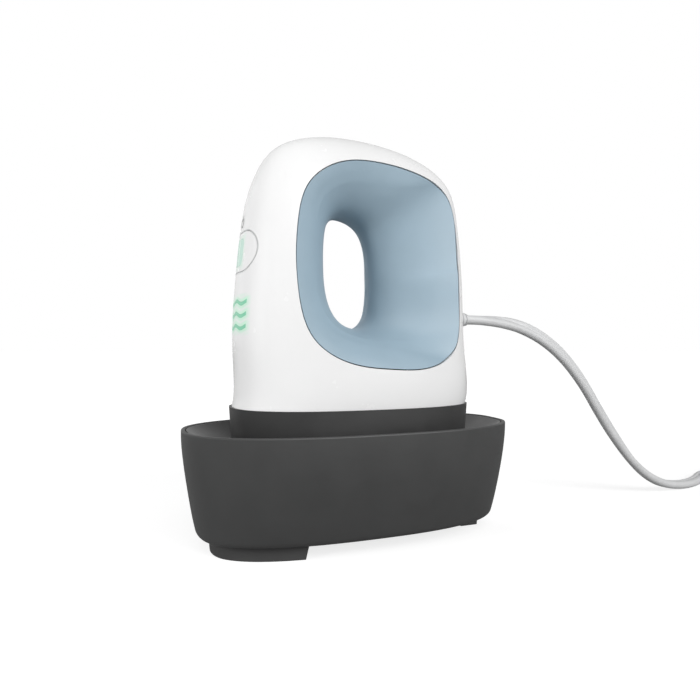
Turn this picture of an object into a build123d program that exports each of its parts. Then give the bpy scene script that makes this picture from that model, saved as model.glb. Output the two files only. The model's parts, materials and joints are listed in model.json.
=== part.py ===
"""Mini handheld heat press, parked in its insulated base.

Millimetres. +X runs along the press towards its cord, -X is the end with the button, +Z is up.
The origin is the centre of the base on the surface that it stands on.
"""
from build123d import *
from math import cos, exp, pi, radians, sin, sqrt, tan
import os

os.makedirs("parts", exist_ok=True)

# ---------------------------------------------------------------- driving dimensions
oval_power = 2.5            # superellipse power of every plan outline
oval_points = 20            # points round a plan outline

# base
feet_height = 4.9
base_top = 40.0             # height of the rim over the table
base_length = 118.0         # at the rim
base_width = 63.2
base_wall = 1.5
base_floor = 2.5
base_bottom_round = 3.0
rim_round = 0.5

# pocket of the base
pocket_end_gap = 2.2        # between skirt and pocket, at the ends
pocket_side_gap = 1.3
cradle_wall = 1.2
cradle_edge = 0.6
cradle_floor = 1.8
park_play = 0.05            # between rest pads and plate
reflector_inset = 1.5
funnel_top_drop = 0.35      # cradle edge below the rim
funnel_drop = 5.4           # height of the sloping funnel
cradle_seat_gap = 0.15
reflector_sheet = 0.4
pad_height = 1.55
pad_diameter = 9.0
pad_x, pad_y = 27.0, 11.0
leg_diameter = 7.0
leg_x, leg_y = 29.0, 6.5
base_screw_diameter = 3.0
base_screw_length = 9.0
base_head_diameter = 5.6
base_head_height = 1.3
head_recess_gap = 0.1
screw_clearance = 0.2       # radial, round a screw shank
thread_gap = 0.05           # radial, in a threaded hole

# feet
foot_band = 8.0             # width of the wrap-round front foot
foot_inset = 0.7
foot_shadow_gap = 0.4       # groove over the foot
foot_shadow_inset = 0.7
foot_draft = 0.4
front_foot_end = 22.0       # front foot runs from the front end to this distance before the middle
foot_end_slant = 1.0
rear_foot_length = 8.0
rear_foot_width = 12.0

# heat plate and skirt
park_height = 30.0          # plate face over the table when parked
plate_length = 82.6
plate_width = 48.8
plate_flange = 3.2
plate_edge_round = 1.0
plate_block_inset = 2.6
plate_block_height = 3.4
skirt_gap = 0.3             # between plate flange and skirt
skirt_length = 86.4         # at its top
skirt_width = 51.6
skirt_taper = 0.9           # each side, from top to bottom
skirt_wall = 1.6
skirt_top = 47.0            # height of the seam between skirt and housing when parked
skirt_step = 0.7            # skirt stands proud of the housing
deck_drop = 3.5             # underside of the deck below the seam
deck_thickness = 2.0
deck_draft = 0.3
lip_height = 2.0
lip_wall = 1.4
lip_gap = 0.15
latch_slot_length = 3.2
latch_slot_height = 0.6
latch_slot_depth = 0.5
latch_slot_x = -15.4
latch_slot_drop = 1.4

# heater
element_diameter = 6.0
element_half_pitch = 8.5
element_front = -30.0
element_rise_x = 28.0
element_rise_height = 15.0
element_bend = 7.0
element_clearance = 0.6
terminal_tab = (0.8, 4.8, 6.0)
standoff_x, standoff_y = 24.0, 15.0
standoff_diameter = 6.0
standoff_clearance = 0.5
plate_screw_diameter = 2.8
plate_screw_depth = 2.4
machine_head_diameter = 5.2
machine_head_height = 1.7
insulation_sheet = 1.6
insulation_gap = 0.3
insulation_inset = 4.8
thermistor_diameter = 2.8
thermistor_length = 8.0
thermistor_x = -12.0
fuse_diameter = 2.9
fuse_length = 10.0
fuse_x = 4.0

# housing
housing_height = 93.0       # from the seam to the crown
housing_wall = 2.2
boss_diameter = 6.4
boss_x, boss_y = 33.0, 12.6
boss_height = 13.0
housing_screw_diameter = 2.6
housing_screw_length = 10.0

# grip opening
rim_centre_x = 4.15
rim_centre_height = 47.3    # above the seam
rim_half_length = 30.85
rim_half_height = 34.6
throat_centre_x = -3.15
throat_centre_height = 46.1
throat_half_length = 9.15
throat_half_height = 19.1
throat_slant = -3.0         # lift of the throat's outline at its cord end
throat_power = 2.7
flare_power = 2.5           # how late the flare opens
flare_spare = 0.6           # most that the flare opens past the rim
roll_start = 0.8            # share of the half width where the edge starts to roll over
roll_share = 0.13           # share of the opening that the rolled edge takes
roll_fullness = 0.95        # share of a quarter round that it uses
liner_wall = 1.8
grip_reach = 2.5            # the cutting solids run this far past the housing
grip_stations = (0, 0.14, 0.26, 0.36, 0.44, 0.51, 0.57, 0.63, 0.69, 0.75, 0.81, 0.87, 0.93, 1)
liner_gap = 0.12
rim_gap = 0.35              # open joint round the rim of the liner

# button
button_height = 51.4        # above the seam
button_width = 24.3
button_tall = 13.0
button_gap = 0.15
bezel_width = 0.4
button_back = -35.4         # inner face of the cap
bezel_back = -35.5
flange_extra = 1.0
flange_thickness = 1.0
stem_diameter = 5.0
stem_length = 0.3
plunger_diameter = 3.4
plunger_length = 2.7
button_travel = 0.8
lens_width = 9.0
lens_tall = 9.0
lens_corner = 2.0

# wave lights
wave_heights = (34.6, 30.6, 26.6)   # above the seam
wave_half_width = 10.0
wave_rise = 0.55
wave_stroke = 1.2
wave_period = 9.2
wave_points = 17
wave_gap = 0.04
wave_back = -33.0

# boards
board_thickness = 1.6
control_board_front = -29.6
control_board_width = 25.0
control_board_bottom = 17.0  # above the seam
control_board_height = 44.0
rail_width = 2.4
rail_front = -33.2
rail_back = -26.4
rail_grip = 0.8
board_play = 0.1
chip_size = (1.2, 9.0, 9.0)
ribbon_width = 8.0
ribbon_thickness = 0.8
ribbon_lap = 4.0
switch_size = 6.2
switch_height = 3.5
switch_bore_gap = 0.3
led_size = 2.6
led_height = 1.0
power_board_height = 4.5    # above the deck
power_board_length = 42.0
power_board_width = 33.0
post_diameter = 5.0
post_x, post_y = 17.5, 13.0
board_screw_diameter = 2.0
board_head_diameter = 3.8
board_head_height = 1.3
relay_size = (15.0, 10.0, 10.0)
relay_x, relay_y = -9.0, 5.0
capacitor_diameter = 8.0
capacitor_height = 11.0
capacitor_x, capacitor_y = 5.0, 6.0
triac_size = (10.0, 4.5, 9.0)
triac_x, triac_y = -9.0, -8.0
block_size = (12.0, 8.0, 8.0)
block_x, block_y = 10.0, -8.0
wire_diameter = 1.8
wire_bend = 2.2
wire_apart = 2.9            # between the two mains wires at the strain relief
wire_landing = 1.8          # each side of the middle of the terminal block
live_column = 9.5           # where the live wire turns down, before the strain relief
live_loop = 7.0             # height of its run over the terminal block
neutral_column = 7.0
neutral_loop = 4.0

# cord and what holds it
cord_height = 77.8          # exit over the table when parked
cord_width = 5.8            # twin flat cord, across its two cores
cord_thickness = 3.6
relief_barrel = 8.4
relief_nose = 6.6
relief_outside = 5.0
relief_inside = 15.0
relief_flange_diameter = 12.0
relief_flange_gap = 0.05    # between its flange and the inside of the housing
relief_hole_gap = 0.15
relief_round = 0.8
clamp_length = 23.6
clamp_tall = 9.0
clamp_thickness = 2.0
clamp_face = 35.5           # where the clamp presses on the relief's flange
clamp_screw_y = 9.4
clamp_screw_length = 4.8    # of its pillar
clamp_screw_grip = 2.4
pillar_diameter = 4.4
coil_centre = (236.0, -15.0)
coil_mid_radius = 32.0
coil_turn_pitch = 6.1
coil_turns_across = 4.75
coil_layers = 2
coil_entry_angle = 100.0    # where the cord joins the coil, from +X
plug_gap = 24.0             # from the middle of the coil to the neck of the plug
plug_lead_length = 10.0
plug_length = 27.0
plug_straight = 0.55        # share of its length before it tapers
plug_edge = 1.2
plug_width = 23.0
plug_thickness = 12.6
plug_round = 3.5
plug_neck_length = 14.0
plug_neck_diameter = 8.2
plug_neck_end = 5.4
plug_back_width = 10.6
plug_back_height = 9.0
blade_length = 16.0
blade_width = 6.3
blade_thickness = 1.5
blade_pitch = 12.7
blade_seat = 4.0
blade_hole = 3.2
blade_hole_inset = 4.0

# the free run of the cord, from the strain relief to the coil
cord_route = [
    (64.0, 0.0, 77.8),
    (79.0, -0.5, 73.8),
    (93.0, -0.5, 65.2),
    (105.5, 0.5, 53.0),
    (117.0, 2.5, 38.8),
    (129.2, 4.2, 25.0),
    (141.4, 5.4, 12.8),
    (155.5, 6.0, 4.4),
    (171.5, 7.5, 1.8),
    (188.0, 12.0, 1.8),
    (204.0, 22.0, 1.8),
]

# ---------------------------------------------------------------- values worked out from them
plate_top = park_height + plate_flange
block_top = plate_top + plate_block_height
skirt_bottom = plate_top + skirt_gap
deck_bottom = skirt_top - deck_drop
deck_top = deck_bottom + deck_thickness
housing_length = skirt_length - 2 * skirt_step
housing_width = skirt_width - 2 * skirt_step
housing_top = skirt_top + housing_height
pocket_floor = park_height - park_play - pad_height - reflector_sheet
button_z = skirt_top + button_height
power_board_z = deck_top + power_board_height
power_board_top = power_board_z + board_thickness
control_board_back = control_board_front + board_thickness
relief_exit = housing_length / 2 + relief_outside
coil_outer = coil_mid_radius + coil_turns_across * coil_turn_pitch / 2
coil_inner = coil_mid_radius - coil_turns_across * coil_turn_pitch / 2
coil_height = coil_layers * cord_thickness

# share of base height, of half length and of half width: the base swells towards its rim
base_profile = [
    (0.0, 0.915, 0.775),
    (0.17, 0.939, 0.835),
    (0.38, 0.961, 0.900),
    (0.69, 0.988, 0.968),
    (1.0, 1.0, 1.0),
]

# share of housing height, of half length to the front and to the back, and of half width
housing_profile = [
    (0.0, 0.995, 1.0, 1.0),
    (0.20, 0.988, 0.996, 1.0),
    (0.41, 0.976, 0.976, 0.988),
    (0.57, 0.944, 0.958, 0.953),
    (0.70, 0.908, 0.937, 0.885),
    (0.80, 0.855, 0.900, 0.800),
    (0.871, 0.790, 0.805, 0.705),
    (0.919, 0.720, 0.655, 0.605),
    (0.957, 0.610, 0.445, 0.475),
    (0.982, 0.450, 0.205, 0.330),
    (0.996, 0.280, 0.000, 0.170),
]

# outline of the grip opening, as shares of its half length and half height
rim_shape = [
    (0.990, 0.000), (0.981, 0.352), (0.858, 0.758), (0.445, 0.938),
    (0.000, 1.000), (-0.461, 0.966), (-0.839, 0.727), (-0.971, 0.352),
    (-1.000, 0.000), (-0.974, -0.352), (-0.829, -0.724), (-0.445, -0.944),
    (0.000, -1.000), (0.471, -0.992), (0.897, -0.783), (0.990, -0.358),
]


def save(part, label):
    """Name a finished piece and write it as one STEP file."""
    part.label = label
    export_step(part, f"parts/{label}.step")


def signed_power(value, power):
    return abs(value) ** power * (1 if value >= 0 else -1)


def oval(height, half_length, half_width, centre=0.0):
    """Closed superellipse lying at a height."""
    angles = [2 * pi * i / oval_points for i in range(oval_points)]
    points = [
        (
            centre + half_length * signed_power(cos(a), 2 / oval_power),
            half_width * signed_power(sin(a), 2 / oval_power),
        )
        for a in angles
    ]
    with BuildSketch(Plane.XY.offset(height)) as outline:
        with BuildLine():
            Spline(*points, periodic=True)
        make_face()
    return outline.sketch


def oval_loft(sections):
    """Solid through superellipses, each (height, half length, half width, centre)."""
    with BuildPart() as body:
        for section in sections:
            add(oval(*section))
        loft()
    return body.part


def base_sections(inset, bottom, top):
    """Sections of the base's outside, moved inwards, between two heights."""
    span = base_top - feet_height
    heights = [feet_height + share * span for share, _, _ in base_profile]
    kept = [bottom] + [h for h in heights if bottom + 2 < h < top - 2] + [top]
    sections = []
    for height in kept:
        length_share, width_share = base_share((height - feet_height) / span)
        sections.append(
            (height, base_length / 2 * length_share - inset, base_width / 2 * width_share - inset, 0)
        )
    return sections


def base_share(share):
    """Length and width share of the base at a share of its height."""
    rows = base_profile
    for low, high in zip(rows, rows[1:]):
        if share <= high[0] or high is rows[-1]:
            t = (share - low[0]) / (high[0] - low[0])
            return tuple(low[k] + t * (high[k] - low[k]) for k in (1, 2))


def housing_sections(inset, bottom=None):
    """Sections of the housing's outside, moved inwards by a wall."""
    start = skirt_top if bottom is None else bottom
    sections = []
    for share, front, back, width in housing_profile:
        height = start if share == 0 else skirt_top + share * (housing_height - inset)
        front_x = front * housing_length / 2 - inset
        back_x = back * housing_length / 2 - inset
        half_width = width * housing_width / 2 - inset
        if share > 0.9:
            front_x = front * (housing_length / 2 - inset)
            back_x = back * (housing_length / 2 - inset)
            half_width = width * (housing_width / 2 - inset)
        sections.append((height, (front_x + back_x) / 2, half_width, (back_x - front_x) / 2))
    return sections


def housing_half_width(x, height):
    """Half width of the housing's outside at a place on its side."""
    rows = housing_sections(0.0)
    for low, high in zip(rows, rows[1:]):
        if height <= high[0]:
            t = max(0.0, (height - low[0]) / (high[0] - low[0]))
            half_length, half_width, centre = (low[k] + t * (high[k] - low[k]) for k in (1, 2, 3))
            reach = min(0.999, abs(x - centre) / half_length)
            return half_width * (1 - reach ** oval_power) ** (1 / oval_power)
    return rows[-1][2]


def flare(share):
    """How far the flare has opened, from 0 at the throat to 1 at the rim."""
    depth = 1 - sqrt(1 - roll_fullness ** 2)
    if share <= 1:
        turned = roll_fullness * max(0.0, (share - roll_start) / (1 - roll_start))
        rolled = (1 - sqrt(1 - turned ** 2)) / depth
        return (1 - roll_share) * share ** flare_power + roll_share * rolled
    roll_slope = roll_fullness ** 2 / sqrt(1 - roll_fullness ** 2) / depth / (1 - roll_start)
    slope = (1 - roll_share) * flare_power + roll_share * roll_slope
    return 1 + flare_spare * (1 - exp(-slope * (share - 1) / flare_spare))


def grip_points(distance, wall):
    """Outline of the grip opening at a distance from the middle plane, moved out by a wall."""
    points = []
    count = len(rim_shape)
    for i, (share_x, share_z) in enumerate(rim_shape):
        angle = 2 * pi * i / count
        rim_x = rim_centre_x + share_x * rim_half_length
        rim_height = skirt_top + rim_centre_height + share_z * rim_half_height
        throat_x = throat_centre_x + throat_half_length * signed_power(cos(angle), 2 / throat_power)
        throat_lift = throat_half_height * signed_power(sin(angle), 2 / throat_power)
        throat_z = skirt_top + throat_centre_height + throat_lift + throat_slant * cos(angle)
        half_width = housing_half_width(rim_x, rim_height)
        opened = flare((distance + wall) / half_width)
        x = throat_x + wall * cos(angle) + opened * (rim_x - throat_x)
        z = throat_z + wall * sin(angle) + opened * (rim_height - throat_z)
        points.append((x, z))
    return points


def rim_prism(side, land):
    """Bar across the housing with the outline of the rim, moved out by a land."""
    points = []
    count = len(rim_shape)
    for i in range(count // 2, count // 2 + count):     # its seam lies opposite the flare's
        share_x, share_z = rim_shape[i % count]
        angle = 2 * pi * i / count
        points.append((
            rim_centre_x + share_x * rim_half_length + land * cos(angle),
            skirt_top + rim_centre_height + share_z * rim_half_height + land * sin(angle),
        ))
    with BuildPart() as bar:
        with BuildSketch(Plane.XZ):
            with BuildLine():
                Spline(*points, periodic=True)
            make_face()
        extrude(amount=-side * (housing_width / 2 + grip_reach))
    return bar.part


def grip_solid(side, wall, land=None):
    """Space of the grip opening on one side, moved out by a wall and kept within the rim."""
    reach = housing_width / 2 + grip_reach
    with BuildPart() as space:
        for station in grip_stations:
            distance = reach * station
            plane = Plane(origin=(0, side * distance, 0), x_dir=(1, 0, 0), z_dir=(0, -1, 0))
            with BuildSketch(plane):
                with BuildLine():
                    Spline(*grip_points(distance, wall), periodic=True)
                make_face()
        loft()
        if land is not None:
            add(rim_prism(side, land), mode=Mode.INTERSECT)
    return space.part


def stadium_prism(width, tall, front, back, height):
    """Bar along X with a stadium section, from one X to another, at a height."""
    with BuildPart() as bar:
        with BuildSketch(Plane(origin=(front, 0, height), x_dir=(0, 1, 0), z_dir=(1, 0, 0))):
            if width > tall:
                SlotOverall(width, tall)
            else:
                SlotOverall(tall, width, rotation=90)
        extrude(amount=back - front)
    return bar.part


def screw(diameter, length, head_diameter, head_height, tip, turned=False):
    """Pan-head screw standing on its tip, or hanging from it when turned."""
    direction = -1 if turned else 1
    head_start = tip + direction * length
    with BuildPart() as body:
        with BuildSketch(Plane.XY.offset(tip)):
            Circle(diameter / 2)
        extrude(amount=direction * length)
        with BuildSketch(Plane.XY.offset(head_start)):
            Circle(head_diameter / 2)
        extrude(amount=direction * head_height)
        crown = body.faces().sort_by(Axis.Z)[0 if turned else -1]
        fillet(crown.edges(), radius=head_height * 0.4)
        slot_floor = head_start + direction * head_height
        with BuildSketch(Plane.XY.offset(slot_floor)):
            Rectangle(head_diameter * 0.6, head_diameter * 0.14)
            Rectangle(head_diameter * 0.14, head_diameter * 0.6)
        extrude(amount=-direction * head_height * 0.5, mode=Mode.SUBTRACT)
    return body.part


def cylinder_at(x, y, bottom, diameter, height):
    """Upright cylinder standing at a place."""
    with BuildPart() as body:
        with BuildSketch(Plane((x, y, bottom))):
            Circle(diameter / 2)
        extrude(amount=height)
    return body.part


def box_at(x, y, bottom, size):
    """Upright box standing at a place."""
    with BuildPart() as body:
        with BuildSketch(Plane((x, y, bottom))):
            Rectangle(size[0], size[1])
        extrude(amount=size[2])
    return body.part


def rod_along_x(front, back, y, height, diameter):
    with BuildPart() as body:
        with BuildSketch(Plane(origin=(front, y, height), x_dir=(0, 1, 0), z_dir=(1, 0, 0))):
            Circle(diameter / 2)
        extrude(amount=back - front)
    return body.part


def tube_along(points, radii, diameter):
    """Round bar along straight runs joined by tangent arcs."""
    with BuildPart() as body:
        with BuildLine() as path:
            FilletPolyline(*points, radius=radii)
        first, second = Vector(*points[0]), Vector(*points[1])
        with BuildSketch(Plane(origin=first, z_dir=second - first)):
            Circle(diameter / 2)
        sweep(path=path.wires()[0])
    return body.part


four_corners = [(1, 1), (-1, 1), (-1, -1), (1, -1)]

# ---------------------------------------------------------------- base shell
shell_floor_top = feet_height + base_floor
leg_places = [(sx * leg_x, sy * leg_y) for sx, sy in four_corners]

with BuildPart() as base_shell:
    add(oval_loft(base_sections(0.0, feet_height, base_top)))
    fillet(base_shell.faces().sort_by(Axis.Z)[0].edges(), radius=base_bottom_round)
    add(oval_loft(base_sections(base_wall, shell_floor_top, base_top + base_wall)), mode=Mode.SUBTRACT)
    fillet(base_shell.faces().sort_by(Axis.Z)[-1].edges(), radius=rim_round)
    with BuildSketch(Plane.XY.offset(feet_height)):
        with Locations(*leg_places):
            Circle(base_screw_diameter / 2 + screw_clearance)
    extrude(amount=base_floor, mode=Mode.SUBTRACT)
    with BuildSketch(Plane.XY.offset(feet_height)):
        with Locations(*leg_places):
            Circle(base_head_diameter / 2 + screw_clearance)
    extrude(amount=base_head_height + head_recess_gap, mode=Mode.SUBTRACT)
save(base_shell.part, "base_shell")

# ---------------------------------------------------------------- cradle
cradle_top = base_top - funnel_top_drop
pocket_top = cradle_top - funnel_drop
pocket_half_length = skirt_length / 2 + pocket_end_gap
pocket_half_width = skirt_width / 2 + pocket_side_gap
mouth_half_length = base_length / 2 - base_wall - cradle_seat_gap
mouth_half_width = base_width / 2 - base_wall - cradle_seat_gap


def cradle_form(wall, edge, floor):
    """Funnel over a pocket: the outside with its wall, the hollow without."""
    with BuildPart() as form:
        add(oval_loft([
            (pocket_top - wall, pocket_half_length + wall, pocket_half_width + wall),
            (cradle_top, mouth_half_length - edge, mouth_half_width - edge),
        ]))
        add(oval_loft([
            (floor, pocket_half_length + wall - skirt_taper, pocket_half_width + wall - skirt_taper),
            (pocket_top - wall, pocket_half_length + wall, pocket_half_width + wall),
        ]))
    return form.part


leg_height = pocket_floor - cradle_floor - shell_floor_top
with BuildPart() as base_cradle:
    add(cradle_form(cradle_wall, 0.0, pocket_floor - cradle_floor))
    add(cradle_form(0.0, cradle_edge, pocket_floor), mode=Mode.SUBTRACT)
    with BuildSketch(Plane.XY.offset(shell_floor_top)):
        with Locations(*leg_places):
            Circle(leg_diameter / 2)
            Circle(base_screw_diameter / 2 + thread_gap, mode=Mode.SUBTRACT)
    extrude(amount=leg_height)
save(base_cradle.part, "base_cradle")

with BuildPart() as heat_reflector:
    add(oval(pocket_floor, pocket_half_length - reflector_inset, pocket_half_width - reflector_inset))
    extrude(amount=reflector_sheet)
save(heat_reflector.part, "heat_reflector")

with BuildPart() as rest_pads:
    with BuildSketch(Plane.XY.offset(pocket_floor + reflector_sheet)):
        with Locations(*[(sx * pad_x, sy * pad_y) for sx, sy in four_corners]):
            Circle(pad_diameter / 2)
    extrude(amount=pad_height)
save(rest_pads.part, "rest_pads")

base_screw_tip = feet_height + head_recess_gap + base_head_height + base_screw_length
one_base_screw = screw(
    base_screw_diameter, base_screw_length, base_head_diameter, base_head_height, base_screw_tip, True
)
with BuildPart() as base_screws:
    with Locations(*[(x, y, 0) for x, y in leg_places]):
        add(one_base_screw)
save(base_screws.part, "base_screws")

# ---------------------------------------------------------------- feet
foot_half_length = base_length / 2 * base_profile[0][1] - base_bottom_round - foot_inset
foot_half_width = base_width / 2 * base_profile[0][2] - base_bottom_round - foot_inset
foot_body = feet_height - foot_shadow_gap


def foot_ring():
    """Ring under the base, set back at its top to leave a shadow groove."""
    with BuildPart() as ring:
        add(oval_loft([
            (0, foot_half_length - foot_draft, foot_half_width - foot_draft),
            (foot_body, foot_half_length, foot_half_width),
        ]))
        add(oval(foot_body, foot_half_length - foot_shadow_inset, foot_half_width - foot_shadow_inset))
        extrude(amount=foot_shadow_gap)
        add(oval(0, foot_half_length - foot_band, foot_half_width - foot_band))
        extrude(amount=feet_height, mode=Mode.SUBTRACT)
    return ring.part


with BuildPart() as front_foot:
    add(foot_ring())
    with BuildSketch(Plane.XZ):
        with BuildLine():
            Polyline(
                (-front_foot_end - foot_end_slant, 0), (-front_foot_end, feet_height),
                (base_length, feet_height), (base_length, 0), close=True,
            )
        make_face()
    extrude(amount=base_width, both=True, mode=Mode.SUBTRACT)
save(front_foot.part, "front_foot")

with BuildPart() as rear_foot:
    add(foot_ring())
    with BuildSketch():
        with Locations((foot_half_length - rear_foot_length / 2, 0)):
            Rectangle(rear_foot_length + 2 * foot_draft, rear_foot_width)
    extrude(amount=feet_height, mode=Mode.INTERSECT)
save(rear_foot.part, "rear_foot")

# ---------------------------------------------------------------- heat plate and what stands on it
standoff_places = [(sx * standoff_x, sy * standoff_y) for sx, sy in four_corners]


def element_tube(gap):
    """The U of the heating element with both ends bent up, grown by a gap."""
    y, top = element_half_pitch, block_top + element_rise_height
    points = [
        (element_rise_x, -y, top), (element_rise_x, -y, block_top), (element_front, -y, block_top),
        (element_front, y, block_top), (element_rise_x, y, block_top), (element_rise_x, y, top),
    ]
    turn = y - thread_gap
    return tube_along(points, [element_bend, turn, turn, element_bend], element_diameter + 2 * gap)


with BuildPart() as heat_plate:
    add(oval(park_height, plate_length / 2, plate_width / 2))
    extrude(amount=plate_flange)
    fillet(heat_plate.faces().sort_by(Axis.Z)[0].edges(), radius=plate_edge_round)
    add(oval(plate_top, plate_length / 2 - plate_block_inset, plate_width / 2 - plate_block_inset))
    extrude(amount=plate_block_height)
    add(element_tube(thread_gap), mode=Mode.SUBTRACT)
    with BuildSketch(Plane.XY.offset(block_top)):
        with Locations(*standoff_places):
            Circle(plate_screw_diameter / 2 + thread_gap)
    extrude(amount=-plate_screw_depth - screw_clearance, mode=Mode.SUBTRACT)
save(heat_plate.part, "heat_plate")

save(element_tube(0.0), "heating_element")

tab_thickness, tab_width, tab_height = terminal_tab
with BuildPart() as element_terminals:
    with BuildSketch(Plane.XY.offset(block_top + element_rise_height)):
        with Locations(*[(element_rise_x, sy * element_half_pitch) for sy in (1, -1)]):
            Rectangle(tab_thickness, tab_width)
    extrude(amount=tab_height)
save(element_terminals.part, "element_terminals")

pad_bottom = block_top + element_diameter / 2 + insulation_gap
with BuildPart() as insulation_pad:
    add(oval(pad_bottom, plate_length / 2 - insulation_inset, plate_width / 2 - insulation_inset))
    extrude(amount=insulation_sheet)
    with BuildSketch(Plane.XY.offset(pad_bottom)):
        with Locations(*standoff_places):
            Circle(standoff_diameter / 2 + standoff_clearance)
    extrude(amount=insulation_sheet, mode=Mode.SUBTRACT)
    add(element_tube(element_clearance), mode=Mode.SUBTRACT)
save(insulation_pad.part, "insulation_pad")

with BuildPart() as plate_standoffs:
    with BuildSketch(Plane.XY.offset(block_top)):
        with Locations(*standoff_places):
            Circle(standoff_diameter / 2)
            Circle(plate_screw_diameter / 2 + screw_clearance, mode=Mode.SUBTRACT)
    extrude(amount=deck_bottom - block_top)
save(plate_standoffs.part, "plate_standoffs")

plate_screw_tip = block_top - plate_screw_depth
one_plate_screw = screw(
    plate_screw_diameter, deck_top - plate_screw_tip, machine_head_diameter, machine_head_height,
    plate_screw_tip,
)
with BuildPart() as plate_screws:
    with Locations(*[(x, y, 0) for x, y in standoff_places]):
        add(one_plate_screw)
save(plate_screws.part, "plate_screws")

with BuildPart() as thermistor:
    centre = (thermistor_x, -thermistor_length / 2, block_top + thermistor_diameter / 2)
    with BuildSketch(Plane(origin=centre, x_dir=(1, 0, 0), z_dir=(0, 1, 0))):
        Circle(thermistor_diameter / 2)
    extrude(amount=thermistor_length)
    fillet(thermistor.faces().sort_by(Axis.Y)[-1].edges(), radius=thermistor_diameter * 0.4)
save(thermistor.part, "thermistor")

with BuildPart() as thermal_fuse:
    add(rod_along_x(fuse_x, fuse_x + fuse_length, 0, block_top + fuse_diameter / 2, fuse_diameter))
    chamfer(thermal_fuse.faces().sort_by(Axis.X)[-1].edges(), length=fuse_diameter * 0.25)
save(thermal_fuse.part, "thermal_fuse")

# ---------------------------------------------------------------- skirt
boss_places = [(sx * boss_x, sy * boss_y) for sx, sy in four_corners]
post_places = [(sx * post_x, sy * post_y) for sx, sy in four_corners]
deck_half_length = skirt_length / 2 - skirt_wall
deck_half_width = skirt_width / 2 - skirt_wall
lip_half_length = housing_length / 2 * housing_profile[0][1] - housing_wall - lip_gap
lip_half_width = housing_width / 2 - housing_wall - lip_gap

with BuildPart() as heat_skirt:
    add(oval_loft([
        (skirt_bottom, skirt_length / 2 - skirt_taper, skirt_width / 2 - skirt_taper),
        (skirt_top, skirt_length / 2, skirt_width / 2),
    ]))
    add(oval_loft([
        (skirt_bottom, deck_half_length - skirt_taper, deck_half_width - skirt_taper),
        (deck_bottom, deck_half_length - deck_draft, deck_half_width - deck_draft),
    ]), mode=Mode.SUBTRACT)
    add(oval(deck_top, lip_half_length - lip_wall, lip_half_width - lip_wall))
    extrude(amount=skirt_top - deck_top, mode=Mode.SUBTRACT)
    add(oval(skirt_top, lip_half_length, lip_half_width))
    extrude(amount=lip_height)
    add(oval(skirt_top, lip_half_length - lip_wall, lip_half_width - lip_wall))
    extrude(amount=lip_height, mode=Mode.SUBTRACT)
    with BuildSketch(Plane.XY.offset(deck_top)):
        with Locations(*boss_places):
            Circle(boss_diameter / 2 + lip_gap)
    extrude(amount=skirt_top + lip_height - deck_top, mode=Mode.SUBTRACT)
    with BuildSketch(Plane.XY.offset(deck_top)):
        with Locations(*post_places):
            Circle(post_diameter / 2)
    extrude(amount=power_board_height)
    with BuildSketch(Plane.XY.offset(power_board_z)):
        with Locations(*post_places):
            Circle(board_screw_diameter / 2 + thread_gap)
    extrude(amount=-power_board_height, mode=Mode.SUBTRACT)
    with BuildSketch(Plane.XY.offset(deck_bottom)):
        with Locations(*standoff_places):
            Circle(plate_screw_diameter / 2 + screw_clearance)
        with Locations(*boss_places):
            Circle(housing_screw_diameter / 2 + screw_clearance)
    extrude(amount=deck_thickness, mode=Mode.SUBTRACT)
    add(element_tube(element_clearance), mode=Mode.SUBTRACT)
    for side in (1, -1):
        with BuildSketch(Plane.XZ.offset(side * (skirt_width / 2 - latch_slot_depth))):
            with Locations((latch_slot_x, skirt_top - latch_slot_drop)):
                Rectangle(latch_slot_length, latch_slot_height)
        extrude(amount=side * skirt_wall, mode=Mode.SUBTRACT)
save(heat_skirt.part, "heat_skirt")

# ---------------------------------------------------------------- housing and grip liners
housing_outside = oval_loft(housing_sections(0.0))
housing_inside = oval_loft(housing_sections(housing_wall, skirt_top - housing_wall))
grip_seats = [grip_solid(side, liner_wall + liner_gap, 0.0) for side in (1, -1)]


def in_housing(solid):
    """The share of a solid that lies within the housing's outer form."""
    with BuildPart() as kept:
        add(solid)
        add(housing_outside, mode=Mode.INTERSECT)
    return kept.part


def lens_bar(grow):
    """Bar along X with the lens's outline, through the front of the cap."""
    front = -housing_length / 2 - button_gap
    with BuildPart() as bar:
        with BuildSketch(Plane(origin=(front, 0, button_z), x_dir=(0, 1, 0), z_dir=(1, 0, 0))):
            RectangleRounded(lens_width + 2 * grow, lens_tall + 2 * grow, lens_corner + grow)
        extrude(amount=button_back - front)
    return bar.part


def wave_bar(height, grow):
    """Wavy bar along X, from in front of the housing to behind its wall."""
    half = wave_half_width + grow
    steps = [-half + 2 * half * i / (wave_points - 1) for i in range(wave_points)]
    line = [(y, height - wave_rise * sin(2 * pi * y / wave_period)) for y in steps]
    lift = wave_stroke / 2 + grow
    upper = [(y, z + lift) for y, z in line]
    lower = [(y, z - lift) for y, z in line]
    front = -housing_length / 2 - wave_stroke
    with BuildPart() as bar:
        with BuildSketch(Plane(origin=(front, 0, 0), x_dir=(0, 1, 0), z_dir=(1, 0, 0))):
            with BuildLine():
                Spline(*upper)
                Line(upper[-1], lower[-1])
                Spline(*reversed(lower))
                Line(lower[0], upper[0])
            make_face()
        extrude(amount=wave_back - front)
    return bar.part


cap_front = -housing_length / 2 - button_gap
bezel_outer = 2 * (button_gap + bezel_width)
flange_grow = 2 * (flange_extra + button_gap)
travel_room = button_back + flange_thickness + button_travel + button_gap
board_side = control_board_width / 2
board_low = skirt_top + control_board_bottom
board_high = board_low + control_board_height
pillar_places = [(sy * clamp_screw_y, cord_height) for sy in (1, -1)]
boss_top = skirt_top + boss_height

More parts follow.
